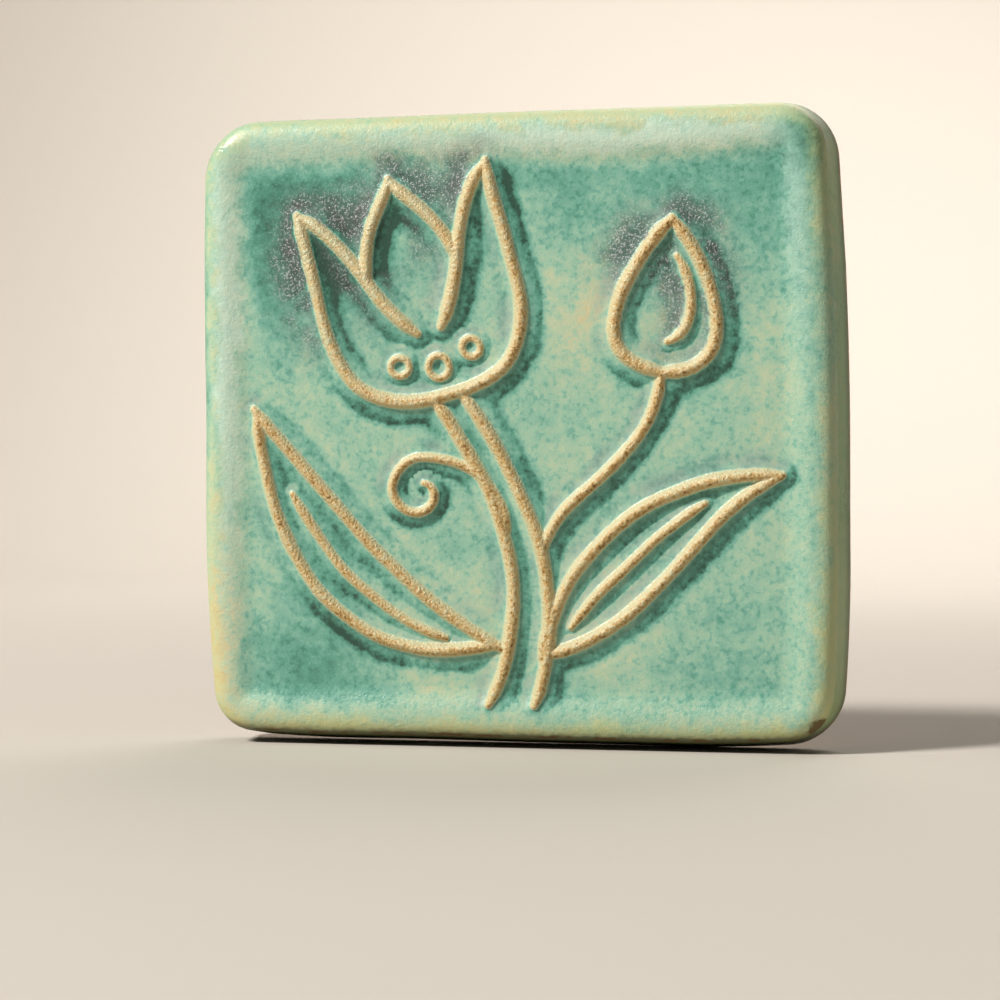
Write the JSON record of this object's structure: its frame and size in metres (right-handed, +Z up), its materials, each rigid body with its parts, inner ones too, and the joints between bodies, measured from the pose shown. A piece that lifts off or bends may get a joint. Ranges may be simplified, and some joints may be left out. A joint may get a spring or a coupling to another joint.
{
  "type": "art tile",
  "caption": "Square hand-pressed wall tile of glazed clay, with a soft raised rim and a tulip spray in raised lines on a sunken green field.",
  "frame": {"origin": "centre of the flat back, where the tile is fixed to a wall", "axes": "+Y out of the back into the wall, so the face looks along -Y; +Z up; +X to the right as one looks at the face"},
  "size_m": [0.1018, 0.012, 0.099],
  "materials": {
    "green_matt_glaze": "semi-matt green glaze, thin and cream-tan on the raised lines and the rim, pooled dark beside the lines"
  },
  "bodies": {
    "root": {"art_tile": "green_matt_glaze"}
  },
  "joints": []
}
